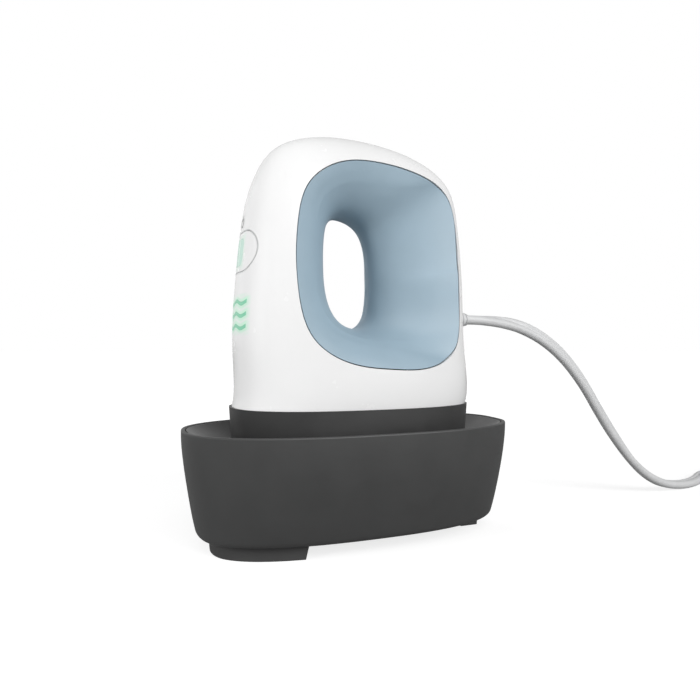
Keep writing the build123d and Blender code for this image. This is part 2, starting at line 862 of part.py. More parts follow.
with BuildPart() as rails:
    for side in (1, -1):
        start = side * (board_side - rail_grip)
        with BuildSketch(Plane.XY.offset(board_low)):
            with Locations(((rail_front + rail_back) / 2, start + side * rail_width / 2)):
                Rectangle(rail_back - rail_front, rail_width)
        extrude(amount=control_board_height - board_play)
    with BuildSketch(Plane.XY.offset(board_low)):
        with Locations(((control_board_front + control_board_back) / 2, 0)):
            Rectangle(board_thickness + 2 * board_play, control_board_width + 2 * board_play)
    extrude(amount=control_board_height, mode=Mode.SUBTRACT)

with BuildPart() as pillars:
    with BuildSketch(Plane(origin=(clamp_face, 0, 0), x_dir=(0, 1, 0), z_dir=(1, 0, 0))):
        with Locations(*pillar_places):
            Circle(pillar_diameter / 2)
    extrude(amount=clamp_screw_length)

with BuildPart() as bosses:
    with BuildSketch(Plane.XY.offset(deck_top)):
        with Locations(*boss_places):
            Circle(boss_diameter / 2)
    extrude(amount=boss_top - deck_top)

with BuildPart() as housing_shell:
    add(housing_outside)
    add(housing_inside, mode=Mode.SUBTRACT)
    for seat in grip_seats:
        add(seat, mode=Mode.SUBTRACT)
    add(in_housing(rails.part))
    add(in_housing(pillars.part))
    add(bosses.part)
    with BuildSketch(Plane.XY.offset(deck_top)):
        with Locations(*boss_places):
            Circle(housing_screw_diameter / 2 + thread_gap)
    extrude(amount=housing_screw_length, mode=Mode.SUBTRACT)
    add(stadium_prism(
        button_width + bezel_outer, button_tall + bezel_outer, cap_front, bezel_back, button_z
    ), mode=Mode.SUBTRACT)
    add(stadium_prism(
        button_width + flange_grow, button_tall + flange_grow, bezel_back, travel_room, button_z
    ), mode=Mode.SUBTRACT)
    for height in wave_heights:
        add(wave_bar(skirt_top + height, wave_gap), mode=Mode.SUBTRACT)
    add(rod_along_x(
        clamp_face, relief_exit, 0, cord_height, relief_barrel + 2 * relief_hole_gap
    ), mode=Mode.SUBTRACT)
    with BuildSketch(Plane(origin=(clamp_face, 0, 0), x_dir=(0, 1, 0), z_dir=(1, 0, 0))):
        with Locations(*pillar_places):
            Circle(board_screw_diameter / 2 + thread_gap)
    extrude(amount=clamp_screw_length - clamp_thickness, mode=Mode.SUBTRACT)
save(housing_shell.part, "housing_shell")


def grip_liner(side):
    """Half of the soft liner of the grip opening, flush with the housing's side."""
    with BuildPart() as liner:
        add(grip_solid(side, liner_wall, -rim_gap))
        add(housing_outside, mode=Mode.INTERSECT)
        add(grip_solid(side, 0.0), mode=Mode.SUBTRACT)
    return liner.part


save(grip_liner(-1), "grip_liner_right")
save(grip_liner(1), "grip_liner_left")

housing_screw_tip = deck_top + housing_screw_length - screw_clearance
one_housing_screw = screw(
    housing_screw_diameter, housing_screw_tip - deck_bottom, machine_head_diameter,
    machine_head_height, housing_screw_tip, True,
)
with BuildPart() as housing_screws:
    with Locations(*[(x, y, 0) for x, y in boss_places]):
        add(one_housing_screw)
save(housing_screws.part, "housing_screws")

# ---------------------------------------------------------------- power button
with BuildPart() as button_cap:
    add(in_housing(stadium_prism(button_width, button_tall, cap_front, button_back, button_z)))
    add(stadium_prism(
        button_width + 2 * flange_extra, button_tall + 2 * flange_extra,
        button_back, button_back + flange_thickness, button_z,
    ))
    stem_front = button_back + flange_thickness
    add(rod_along_x(stem_front, stem_front + stem_length, 0, button_z, stem_diameter))
    add(lens_bar(thread_gap), mode=Mode.SUBTRACT)
save(button_cap.part, "button_cap")

save(in_housing(lens_bar(0.0)), "button_lens")

with BuildPart() as button_bezel:
    add(in_housing(stadium_prism(
        button_width + bezel_outer, button_tall + bezel_outer, cap_front, bezel_back, button_z
    )))
    add(stadium_prism(
        button_width + 2 * button_gap, button_tall + 2 * button_gap, cap_front, bezel_back, button_z
    ), mode=Mode.SUBTRACT)
save(button_bezel.part, "button_bezel")

plunger_front = button_back + flange_thickness + stem_length
save(
    rod_along_x(plunger_front, plunger_front + plunger_length, 0, button_z, plunger_diameter),
    "switch_plunger",
)

# ---------------------------------------------------------------- lights and control board
with BuildPart() as wave_light_guides:
    for height in wave_heights:
        add(in_housing(wave_bar(skirt_top + height, 0.0)))
save(wave_light_guides.part, "wave_light_guides")

with BuildPart() as control_board:
    with BuildSketch(Plane.XY.offset(board_low)):
        with Locations((control_board_front + board_thickness / 2, 0)):
            Rectangle(board_thickness, control_board_width)
    extrude(amount=control_board_height)
save(control_board.part, "control_board")

switch_front = control_board_front - switch_height
with BuildPart() as tact_switch:
    with BuildSketch(Plane(origin=(switch_front, 0, button_z), x_dir=(0, 1, 0), z_dir=(1, 0, 0))):
        Rectangle(switch_size, switch_size)
    extrude(amount=switch_height)
    add(rod_along_x(
        switch_front, plunger_front + plunger_length + button_travel + switch_bore_gap, 0, button_z,
        plunger_diameter + 2 * switch_bore_gap,
    ), mode=Mode.SUBTRACT)
save(tact_switch.part, "tact_switch")

led_places = [(0, skirt_top + height) for height in wave_heights] + [(0, button_z - switch_size)]
with BuildPart() as indicator_lights:
    with BuildSketch(Plane(
        origin=(control_board_front - led_height, 0, 0), x_dir=(0, 1, 0), z_dir=(1, 0, 0)
    )):
        with Locations(*led_places):
            Rectangle(led_size, led_size)
    extrude(amount=led_height)
save(indicator_lights.part, "indicator_lights")

with BuildPart() as controller_chip:
    add(box_at(
        control_board_back + chip_size[0] / 2, 0, (board_low + board_high) / 2, chip_size
    ))
save(controller_chip.part, "controller_chip")

# ---------------------------------------------------------------- power board
with BuildPart() as power_board:
    with BuildSketch(Plane.XY.offset(power_board_z)):
        Rectangle(power_board_length, power_board_width)
        with Locations(*post_places):
            Circle(board_screw_diameter / 2 + screw_clearance, mode=Mode.SUBTRACT)
    extrude(amount=board_thickness)
save(power_board.part, "power_board")

board_screw_tip = deck_top + thread_gap
one_board_screw = screw(
    board_screw_diameter, power_board_top - board_screw_tip, board_head_diameter,
    board_head_height, board_screw_tip,
)
with BuildPart() as board_screws:
    with Locations(*[(x, y, 0) for x, y in post_places]):
        add(one_board_screw)
save(board_screws.part, "board_screws")

save(box_at(relay_x, relay_y, power_board_top, relay_size), "relay")
save(
    cylinder_at(capacitor_x, capacitor_y, power_board_top, capacitor_diameter, capacitor_height),
    "filter_capacitor",
)
save(box_at(triac_x, triac_y, power_board_top, triac_size), "triac")
save(box_at(block_x, block_y, power_board_top, block_size), "terminal_block")

# ---------------------------------------------------------------- wires
tab_z = block_top + element_rise_height + tab_height / 2
tab_face = element_rise_x - tab_thickness / 2
block_end = block_x + block_size[0] / 2
with BuildPart() as heater_wires:
    add(rod_along_x(block_end, tab_face, -element_half_pitch, tab_z, wire_diameter))
    side_y = block_y + wire_diameter * 1.5
    bend_x = (block_end + tab_face) / 2
    add(tube_along(
        [
            (block_end, side_y, tab_z), (bend_x, side_y, tab_z),
            (bend_x, element_half_pitch, tab_z), (tab_face, element_half_pitch, tab_z),
        ],
        [wire_bend] * 2, wire_diameter,
    ))
save(heater_wires.part, "heater_wires")

relief_start = housing_length / 2 - relief_inside
block_roof = power_board_top + block_size[2]
live_y, live_x, live_z = wire_apart / 2, relief_start - live_column, block_roof + live_loop
live_end = (block_x + wire_landing, block_y + wire_landing)
neutral_y, neutral_x, neutral_z = -wire_apart / 2, relief_start - neutral_column, block_roof + neutral_loop
neutral_end = (block_x - wire_landing, block_y - wire_landing)
with BuildPart() as mains_wires:
    add(tube_along(
        [
            (relief_start, live_y, cord_height), (live_x, live_y, cord_height), (live_x, live_y, live_z),
            (*live_end, live_z), (*live_end, block_roof),
        ],
        [wire_bend] * 3, wire_diameter,
    ))
    add(tube_along(
        [
            (relief_start, neutral_y, cord_height), (neutral_x, neutral_y, cord_height),
            (neutral_x, neutral_y, neutral_z), (neutral_x, neutral_end[1], neutral_z),
            (*neutral_end, neutral_z), (*neutral_end, block_roof),
        ],
        [wire_bend] * 4, wire_diameter,
    ))
save(mains_wires.part, "mains_wires")

ribbon_top = board_low + ribbon_lap
ribbon_front = control_board_back
board_edge = -power_board_length / 2
with BuildPart() as signal_ribbon:
    with BuildSketch(Plane.XZ):
        with BuildLine():
            Polyline(
                (ribbon_front, ribbon_top), (ribbon_front, board_low - ribbon_lap),
                (board_edge, power_board_top), (board_edge + ribbon_lap, power_board_top),
                (board_edge + ribbon_lap, power_board_top + ribbon_thickness),
                (board_edge + ribbon_thickness, power_board_top + ribbon_thickness),
                (ribbon_front + ribbon_thickness, board_low - ribbon_lap + ribbon_thickness),
                (ribbon_front + ribbon_thickness, ribbon_top), close=True,
            )
        make_face()
    extrude(amount=ribbon_width / 2, both=True)
save(signal_ribbon.part, "signal_ribbon")

# ---------------------------------------------------------------- cord entry
with BuildPart() as strain_relief:
    add(rod_along_x(clamp_face, housing_length / 2, 0, cord_height, relief_flange_diameter))
    add(
        oval_loft(housing_sections(housing_wall + relief_flange_gap, skirt_top - housing_wall)),
        mode=Mode.INTERSECT,
    )
    add(rod_along_x(relief_start, housing_length / 2, 0, cord_height, relief_barrel))
    nose_plane = Plane(origin=(housing_length / 2, 0, cord_height), x_dir=(0, 1, 0), z_dir=(1, 0, 0))
    with BuildSketch(nose_plane):
        Circle(relief_barrel / 2)
    with BuildSketch(nose_plane.offset(relief_outside)):
        Circle(relief_nose / 2)
    loft()
    fillet(strain_relief.faces().sort_by(Axis.X)[-1].edges(), radius=relief_round)
save(strain_relief.part, "strain_relief")

clamp_plane = Plane(
    origin=(clamp_face - clamp_thickness, 0, cord_height), x_dir=(0, 1, 0), z_dir=(1, 0, 0)
)
with BuildPart() as cord_clamp:
    with BuildSketch(clamp_plane):
        RectangleRounded(clamp_length, clamp_tall, clamp_tall / 4)
        Circle(relief_barrel / 2 + relief_hole_gap, mode=Mode.SUBTRACT)
        with Locations((clamp_screw_y, 0), (-clamp_screw_y, 0)):
            Circle(board_screw_diameter / 2 + screw_clearance, mode=Mode.SUBTRACT)
    extrude(amount=clamp_thickness)
save(cord_clamp.part, "cord_clamp")

with BuildPart() as clamp_screws:
    for y, z in pillar_places:
        add(rod_along_x(
            clamp_face - clamp_thickness, clamp_face + clamp_screw_grip, y, z, board_screw_diameter
        ))
        add(rod_along_x(
            clamp_face - clamp_thickness - board_head_height, clamp_face - clamp_thickness, y, z,
            board_head_diameter,
        ))
save(clamp_screws.part, "clamp_screws")

# ---------------------------------------------------------------- cord
def route_radii(points):
    """Arc at each corner, as large as its two runs allow."""
    radii = []
    for before, corner, after in zip(points, points[1:], points[2:]):
        run_in, run_out = Vector(*corner) - Vector(*before), Vector(*after) - Vector(*corner)
        turn = radians(run_in.get_angle(run_out))
        radii.append(0.45 * min(run_in.length, run_out.length) / tan(turn / 2))
    return radii


entry_angle = radians(coil_entry_angle)
coil_x, coil_y = coil_centre
entry_radius = coil_outer - coil_turn_pitch / 2
coil_entry = (
    coil_x + entry_radius * cos(entry_angle), coil_y + entry_radius * sin(entry_angle),
    cord_thickness / 2,
)
route = [(relief_exit, 0.0, cord_height)] + cord_route + [coil_entry]
print("cord radii", [round(r) for r in route_radii(route)])

with BuildPart() as cord_coil:
    with BuildSketch(Plane((coil_x, coil_y, 0))):
        Circle(coil_outer)
        Circle(coil_inner, mode=Mode.SUBTRACT)
    extrude(amount=coil_height)
    fillet(cord_coil.edges(), radius=cord_thickness * 0.4)
save(cord_coil.part, "cord_coil")

with BuildPart() as cord:
    add(tube_along(route, route_radii(route), cord_thickness))
    add(cord_coil.part, mode=Mode.SUBTRACT)
save(cord.part, "cord")

plug_y = coil_y - entry_radius
plug_z = plug_thickness / 2
neck_end = coil_x - plug_gap
lead_end = neck_end + plug_lead_length
lead_z = coil_height - cord_thickness / 2
body_end = neck_end - plug_neck_length
blade_root = body_end - plug_length
shoulder = blade_root + plug_length * plug_straight
blade_sides = [(side * blade_pitch / 2, 0) for side in (1, -1)]


def plug_plane(x):
    """Plane across the plug at a place along it."""
    return Plane(origin=(x, plug_y, plug_z), x_dir=(0, 1, 0), z_dir=(1, 0, 0))


with BuildPart() as plug_body:
    with BuildSketch(plug_plane(blade_root)):
        RectangleRounded(plug_width, plug_thickness, plug_round)
    extrude(amount=shoulder - blade_root)
    with BuildSketch(plug_plane(shoulder)):
        RectangleRounded(plug_width, plug_thickness, plug_round)
    with BuildSketch(plug_plane(body_end)):
        RectangleRounded(plug_back_width, plug_back_height, plug_round)
    loft()
    fillet(plug_body.faces().sort_by(Axis.X)[0].edges(), radius=plug_edge)
    with BuildSketch(plug_plane(body_end)):
        Circle(plug_neck_diameter / 2)
    with BuildSketch(plug_plane(neck_end)):
        Circle(plug_neck_end / 2)
    loft()
    with BuildSketch(plug_plane(blade_root)):
        with Locations(*blade_sides):
            Rectangle(blade_thickness, blade_width)
    extrude(amount=blade_seat, mode=Mode.SUBTRACT)
save(plug_body.part, "plug_body")

with BuildPart() as plug_lead:
    add(tube_along(
        [
            (lead_end, plug_y, lead_z), ((lead_end + neck_end) / 2, plug_y, lead_z),
            (neck_end, plug_y, plug_z),
        ],
        [cord_thickness * 4], cord_thickness,
    ))
    add(cord_coil.part, mode=Mode.SUBTRACT)
    add(plug_body.part, mode=Mode.SUBTRACT)
save(plug_lead.part, "plug_lead")

with BuildPart() as plug_blades:
    with BuildSketch(plug_plane(blade_root - blade_length)):
        with Locations(*blade_sides):
            Rectangle(blade_thickness, blade_width)
    extrude(amount=blade_length + blade_seat)
    hole_place = (blade_root - blade_length + blade_hole_inset, plug_y, plug_z)
    with BuildSketch(Plane(origin=hole_place, x_dir=(1, 0, 0), z_dir=(0, 1, 0))):
        Circle(blade_hole / 2)
    extrude(amount=blade_pitch, both=True, mode=Mode.SUBTRACT)
save(plug_blades.part, "plug_blades")
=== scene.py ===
"""Mini handheld heat press in its base: the looks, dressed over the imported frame.

+X runs along the press towards its cord, -X is the end with the button and +Z is up.
Named sizes and places are in millimetres and turns in degrees, where no comment says
otherwise. Blender itself works in metres.
"""
import json
from math import cos, exp, pi, radians, sin, sqrt

import bmesh
import bpy
from mathutils import Matrix, Vector
from mathutils.bvhtree import BVHTree


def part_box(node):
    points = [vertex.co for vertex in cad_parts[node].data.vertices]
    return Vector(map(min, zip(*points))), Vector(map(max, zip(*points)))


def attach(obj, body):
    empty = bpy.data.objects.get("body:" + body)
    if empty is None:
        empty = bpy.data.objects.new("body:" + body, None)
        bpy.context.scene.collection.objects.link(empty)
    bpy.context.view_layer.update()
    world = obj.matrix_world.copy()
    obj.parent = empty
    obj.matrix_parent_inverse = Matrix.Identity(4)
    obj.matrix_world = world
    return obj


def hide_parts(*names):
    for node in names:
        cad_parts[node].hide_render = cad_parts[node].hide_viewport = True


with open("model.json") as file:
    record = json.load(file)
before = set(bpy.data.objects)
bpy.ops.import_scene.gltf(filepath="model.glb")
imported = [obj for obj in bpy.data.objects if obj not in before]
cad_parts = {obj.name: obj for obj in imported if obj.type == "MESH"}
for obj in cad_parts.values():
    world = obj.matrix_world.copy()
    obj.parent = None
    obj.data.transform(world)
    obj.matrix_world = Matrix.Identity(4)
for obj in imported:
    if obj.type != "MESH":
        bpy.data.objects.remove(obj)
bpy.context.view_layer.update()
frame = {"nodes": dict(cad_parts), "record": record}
nodes = frame["nodes"]

MM = 0.001

# ---------------------------------------------------------------- camera
camera_place = (-79.72, -200.0, 66.1)
camera_turn = 21.6             # round from looking along +Y
focal_share = 600 / 700        # focal length as a share of the frame's width
sensor_width = 36.0
nearest_seen = 1.0


def add_camera():
    """Level camera in front of the press's side, turned a little towards its cord."""
    data = bpy.data.cameras.new("camera")
    data.sensor_width = sensor_width
    data.lens = sensor_width * focal_share
    data.clip_start = nearest_seen * MM
    camera = bpy.data.objects.new("camera", data)
    camera.location = [value * MM for value in camera_place]
    camera.rotation_euler = (radians(90), 0, radians(-camera_turn))
    bpy.context.scene.collection.objects.link(camera)
    bpy.context.scene.camera = camera


add_camera()


# ---------------------------------------------------------------- shader building blocks
def feed(tree, socket, value):
    """A plain number into a socket, or a link from another socket."""
    if isinstance(value, (int, float)):
        socket.default_value = value
    else:
        tree.links.new(value, socket)


def noise(tree, vector, scale, detail, roughness):
    """Noise texture on a vector."""
    node = tree.nodes.new("ShaderNodeTexNoise")
    node.inputs["Detail"].default_value = detail
    node.inputs["Roughness"].default_value = roughness
    tree.links.new(vector, node.inputs["Vector"])
    feed(tree, node.inputs["Scale"], scale)
    return node.outputs["Fac"]


def ranged(tree, value, low, high, to_low, to_high):
    """A value moved from one range to another and kept inside it."""
    node = tree.nodes.new("ShaderNodeMapRange")
    tree.links.new(value, node.inputs["Value"])
    node.inputs["From Min"].default_value = low
    node.inputs["From Max"].default_value = high
    node.inputs["To Min"].default_value = to_low
    node.inputs["To Max"].default_value = to_high
    return node.outputs["Result"]


def reckon(tree, operation, *values):
    """Result of a sum on sockets and plain numbers."""
    node = tree.nodes.new("ShaderNodeMath")
    node.operation = operation
    for socket, value in zip(node.inputs, values):
        feed(tree, socket, value)
    return node.outputs[0]


def surface_place(tree):
    """Place of a point of the surface, as one vector."""
    return tree.nodes.new("ShaderNodeTexCoord").outputs["Object"]


def surface_xyz(tree):
    """X, Y and Z of a point of the surface."""
    parts = tree.nodes.new("ShaderNodeSeparateXYZ")
    tree.links.new(surface_place(tree), parts.inputs[0])
    return parts.outputs


def bump_normal(tree, height, strength, distance):
    """Normal that follows a height."""
    bump = tree.nodes.new("ShaderNodeBump")
    bump.inputs["Distance"].default_value = distance * MM
    feed(tree, bump.inputs["Strength"], strength)
    tree.links.new(height, bump.inputs["Height"])
    return bump.outputs["Normal"]


def two_tone(tree, mask, low, high):
    """Colour between two others by a mask, each given as numbers or as a socket."""
    mix = tree.nodes.new("ShaderNodeMix")
    mix.data_type = "RGBA"
    tree.links.new(mask, mix.inputs["Factor"])
    for label, colour in (("A", low), ("B", high)):
        if isinstance(colour, tuple):
            mix.inputs[label].default_value = (*colour, 1)
        else:
            tree.links.new(colour, mix.inputs[label])
    return mix.outputs["Result"]


def new_material(name):
    """Material with a Principled shader, and its tree and shader."""
    material = bpy.data.materials.new(name)
    material.use_nodes = True
    tree = material.node_tree
    return material, tree, tree.nodes["Principled BSDF"]


# ---------------------------------------------------------------- plastics and metals
grain_height = 0.02
cloud_scale = 90.0             # of the slow mask, in cells to the metre
cloud_range = (0.3, 0.7)       # of its noise, drawn out to 0 and 1
plain_grain = (3000.0, 0.3)    # cells to the metre, and depth from 0 to 1
metal_grain = (1500.0, 0.2)


def grain_group():
    """Fine moulded grain: a normal, and a slow mask from 0 to 1 for colour and gloss."""
    group = bpy.data.node_groups.new("moulded_grain", "ShaderNodeTree")
    for label, side, kind in (
        ("Grain Scale", "INPUT", "Float"), ("Grain Depth", "INPUT", "Float"),
        ("Normal", "OUTPUT", "Vector"), ("Cloud", "OUTPUT", "Float"),
    ):
        group.interface.new_socket(label, in_out=side, socket_type="NodeSocket" + kind)
    taken = group.nodes.new("NodeGroupInput").outputs
    given = group.nodes.new("NodeGroupOutput").inputs
    place = surface_place(group)
    fine = noise(group, place, taken["Grain Scale"], detail=2.0, roughness=0.6)
    normal = bump_normal(group, fine, taken["Grain Depth"], grain_height)
    group.links.new(normal, given["Normal"])
    slow = noise(group, place, cloud_scale, detail=4.0, roughness=0.55)
    group.links.new(ranged(group, slow, *cloud_range, 0.0, 1.0), given["Cloud"])
    return group


grain = grain_group()


def moulded(name, low, high, gloss, grain_look=plain_grain):
    """Moulded plastic or rubber: two near colours, a range of roughness and a grain."""
    material, tree, shader = new_material(name)
    skin = tree.nodes.new("ShaderNodeGroup")
    skin.node_tree = grain
    for label, value in zip(("Grain Scale", "Grain Depth"), grain_look):
        skin.inputs[label].default_value = value
    cloud = skin.outputs["Cloud"]
    tree.links.new(two_tone(tree, cloud, low, high), shader.inputs["Base Color"])
    tree.links.new(ranged(tree, cloud, 0.0, 1.0, *gloss), shader.inputs["Roughness"])
    tree.links.new(skin.outputs["Normal"], shader.inputs["Normal"])
    return material


def metal(name, low, high, gloss):
    """Bare metal, with the grain of a rolled or turned face."""
    material = moulded(name, low, high, gloss, metal_grain)
    material.node_tree.nodes["Principled BSDF"].inputs["Metallic"].default_value = 1.0
    return material


# ---------------------------------------------------------------- lit parts of the front, their glow painted on the housing
wave_lowest = 73.6             # height of the lowest of the three waves
wave_pitch = 4.0
wave_rise = 0.55
wave_period = 9.2
wave_stroke = 1.2              # from a wave's middle to where its glow starts to fade
wave_half_width = 10.0
glow_reach = 2.0
glow_between = 0.25            # what stays of the glow between the waves
glow_rows = (1.3, 1.75)        # pitches from the middle wave: full glow, and none
lens_width = 9.0
lens_height = 9.0
lens_reach = 1.8
lens_strength = 0.45
button_height = 98.4
front_end = (-34.0, -31.0)     # along X: where the glow starts to go, and is gone
# mint of the painted glow, put on the housing round the lit waves and lens
glow_mint = (0.62, 0.88, 0.72)
# mint of the lit lens: its own colour with its glow painted in
lens_colour = (0.55, 0.78, 0.68)
lens_line_colour = (0.70, 0.90, 0.81)
lens_line = (0.35, 0.6)        # half the pale line's width: where it is full, and gone
lens_roughness = 0.25


def on_front(tree, x):
    """1 on the front of the housing and 0 further back."""
    start, end = front_end
    return ranged(tree, x, start * MM, end * MM, 1.0, 0.0)


def wave_glow(tree, x, y, z):
    """Mask of painted glow that fades away from the three lit waves on the front."""
    low, pitch, end = wave_lowest * MM, wave_pitch * MM, wave_half_width * MM
    turn = reckon(tree, "MULTIPLY", y, 2 * pi / (wave_period * MM))
    lift = reckon(tree, "MULTIPLY", reckon(tree, "SINE", turn), wave_rise * MM)
    level = reckon(tree, "ADD", reckon(tree, "ADD", z, lift), 0.5 * pitch - low)
    in_row = reckon(tree, "FLOORED_MODULO", level, pitch)
    away = reckon(tree, "ABSOLUTE", reckon(tree, "SUBTRACT", in_row, 0.5 * pitch))
    near = ranged(tree, away, wave_stroke * MM, glow_reach * MM, 1.0, glow_between)
    middle = reckon(tree, "ABSOLUTE", reckon(tree, "SUBTRACT", z, low + pitch))
    full, gone = glow_rows
    rows = ranged(tree, middle, full * pitch, gone * pitch, 1.0, 0.0)
    aside = reckon(tree, "ABSOLUTE", y)
    width = ranged(tree, aside, end, end + glow_reach * MM, 1.0, 0.0)
    return reckon(tree, "MULTIPLY", reckon(tree, "MULTIPLY", near, rows),
                  reckon(tree, "MULTIPLY", width, on_front(tree, x)))


def lens_glow(tree, x, y, z):
    """Faint mask of painted glow round the lit lens of the button."""
    aside = reckon(tree, "ABSOLUTE", y)
    across = reckon(tree, "SUBTRACT", aside, lens_width / 2 * MM)
    rise = reckon(tree, "ABSOLUTE", reckon(tree, "SUBTRACT", z, button_height * MM))
    along = reckon(tree, "SUBTRACT", rise, lens_height / 2 * MM)
    away = reckon(tree, "MAXIMUM", across, along)
    near = ranged(tree, away, 0.0, lens_reach * MM, lens_strength, 0.0)
    return reckon(tree, "MULTIPLY", near, on_front(tree, x))


def paint_front_glow(material):
    """Paints the glow of what is lit behind a plastic into its colour, as mint."""
    tree = material.node_tree
    base = tree.nodes["Principled BSDF"].inputs["Base Color"]
    plain = base.links[0].from_socket
    x, y, z = surface_xyz(tree)
    glow = reckon(tree, "MAXIMUM", wave_glow(tree, x, y, z), lens_glow(tree, x, y, z))
    tree.links.new(two_tone(tree, glow, plain, glow_mint), base)


def lens_mint(name):
    """Lit mint lens: its own mint with its glow painted into the colour, and a paler line down
    its middle.
    """
    material, tree, shader = new_material(name)
    full, gone = lens_line
    aside = reckon(tree, "ABSOLUTE", surface_xyz(tree)["Y"])
    line = ranged(tree, aside, full * MM, gone * MM, 1.0, 0.0)
    mint = two_tone(tree, line, lens_colour, lens_line_colour)
    tree.links.new(mint, shader.inputs["Base Color"])
    shader.inputs["Roughness"].default_value = lens_roughness
    return material


# ---------------------------------------------------------------- finishes
# for each slot: darker colour, paler colour, lowest and highest roughness, own grain
plastics = {
    "white_shell": ((0.845,) * 3, (0.855,) * 3, (0.24, 0.28), (2200.0, 0.02)),
    "blue_liner": (
        (0.312, 0.420, 0.498), (0.328, 0.440, 0.522), (0.42, 0.5), (2600.0, 0.1)),
    "charcoal_base": ((0.044, 0.0445, 0.0445), (0.049, 0.0495, 0.0495), (0.46, 0.54)),
    "black_cradle": ((0.045,) * 3, (0.055,) * 3, (0.34, 0.42), (2500.0, 0.1)),
    "charcoal_skirt": ((0.031,) * 3, (0.037,) * 3, (0.4, 0.5)),
    "ring_grey": ((0.50, 0.51, 0.51), (0.55, 0.56, 0.56), (0.3, 0.4)),
    "foot_grey": ((0.046,) * 3, (0.054,) * 3, (0.6, 0.75)),
    "red_silicone": ((0.35, 0.02, 0.01), (0.42, 0.03, 0.02), (0.5, 0.6)),
    "coated_plate": ((0.08, 0.08, 0.085), (0.11, 0.11, 0.115), (0.3, 0.4)),
    "fibre_sheet": ((0.6, 0.58, 0.52), (0.72, 0.7, 0.65), (0.9, 1.0), (800.0, 1.0)),
    # bright green of the lit waves: their own colour with their glow painted in
    "light_guide": ((0.23, 0.62, 0.41), (0.26, 0.66, 0.45), (0.2, 0.3)),
    "board_green": ((0.01, 0.08, 0.03), (0.015, 0.1, 0.04), (0.3, 0.4)),
    "black_plastic": ((0.012,) * 3, (0.02,) * 3, (0.35, 0.5)),
    "blue_plastic": ((0.02, 0.07, 0.25), (0.03, 0.09, 0.3), (0.3, 0.4)),
    "green_plastic": ((0.02, 0.17, 0.05), (0.03, 0.2, 0.07), (0.3, 0.4)),
    "wire_jacket": ((0.6, 0.6, 0.58), (0.68, 0.68, 0.66), (0.4, 0.5)),
    "cord_grey": (
        (0.64, 0.645, 0.65), (0.69, 0.695, 0.70), (0.38, 0.46), (3000.0, 0.05)),
}
metals = {
    "reflector_sheet": ((0.38, 0.38, 0.39), (0.46, 0.46, 0.47), (0.34, 0.46)),
    "element_steel": ((0.3, 0.27, 0.25), (0.45, 0.42, 0.4), (0.35, 0.5)),
    "steel": ((0.55, 0.55, 0.56), (0.7, 0.7, 0.71), (0.25, 0.4)),
    "brass": ((0.65, 0.45, 0.18), (0.75, 0.55, 0.25), (0.2, 0.35)),
    "can": ((0.6, 0.6, 0.62), (0.75, 0.75, 0.77), (0.2, 0.3)),
}
finishes = {
    "mint_print": lens_mint("mint_print"),
    **{slot: moulded(slot, *look) for slot, look in plastics.items()},
    **{slot: metal(slot, *look) for slot, look in metals.items()},
}
# painted glow: the white housing turns mint round the lit waves and lens
paint_front_glow(finishes["white_shell"])


def dress_nodes():
    """Every CAD node takes the finish of its material slot."""
    for subpart in frame["record"]["subparts"]:
        node = nodes[subpart["node"]]
        node.data.materials.clear()
        node.data.materials.append(finishes[subpart["material_slot"]])


dress_nodes()


# ---------------------------------------------------------------- mesh helpers
def of_kind(geometry, kind):
    """The corners or the edges among what a mesh operator has made."""
    return [item for item in geometry if isinstance(item, kind)]


def next_ring(bm, edges):
    """Corners and edges of a new ring, drawn out of an open ring of edges."""
    made = bmesh.ops.extrude_edge_only(bm, edges=edges)["geom"]
    return of_kind(made, bmesh.types.BMVert), of_kind(made, bmesh.types.BMEdge)


def round_edges(bm, edges, radius, segments):
    """Rounds edges off."""
    bmesh.ops.bevel(bm, geom=edges, offset=radius * MM, segments=segments, profile=0.5,
                    affect="EDGES", material=-1)


def finish_piece(bm, name, body, slot, sharp):
    """Turns a bmesh into a piece that rides on a body and takes a slot's finish."""
    bmesh.ops.recalc_face_normals(bm, faces=bm.faces)
    mesh = bpy.data.meshes.new(name)
    bm.to_mesh(mesh)
    bm.free()
    mesh.shade_smooth()
    mesh.set_sharp_from_angle(angle=radians(sharp))
    piece = bpy.data.objects.new(name, mesh)
    bpy.context.scene.collection.objects.link(piece)
    mesh.materials.append(finishes[slot])
    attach(piece, body)
    return piece


# ---------------------------------------------------------------- cord
cord_width = 5.8               # twin flat cord
cord_thickness = 3.6
groove_depth = 0.8
groove_width = 0.42
profile_points = 44
hanging_twist = 62.0
twist_starts = (48.0, 80.0)    # along X: where the turn begins, and is full
twist_ends = (118.0, 160.0)    # where it begins to go, and is gone
line_steps = 5                 # points along the cord for each of its control points
free_run = [
    (47.5, 0.0, 77.8),
    (64.0, 0.0, 77.8),
    (79.0, -0.5, 73.8),
    (93.0, -0.5, 65.2),
    (105.5, 0.5, 53.0),
    (117.0, 2.5, 38.8),
    (129.2, 4.2, 25.0),
    (141.4, 5.4, 12.8),
    (155.5, 6.0, 4.4),
    (171.5, 7.5, 1.8),
    (188.0, 12.0, 1.8),
    (204.0, 22.0, 1.8),
]
coil_centre = (236.0, -15.0)
coil_mid_radius = 32.0
coil_pitch = 6.1
coil_entry = 100.0             # round from +X, wound clockwise
coil_exit = -90.0
coil_laps = 7                  # whole turns, and the rest from the entry to the exit
coil_points = 120
climb_start = 0.44             # share of the run where it starts up to the second layer
climb_length = 0.06            # share that the climb takes
lead_straight = 9.0            # first step out of the coil
neck_before = 6.0              # last point outside the plug's neck
neck_inside = 3.0              # end of the cord inside it
tie_angle = 30.0               # where the strap goes round the coil
tie_thickness = 0.6
tie_width = 9.0


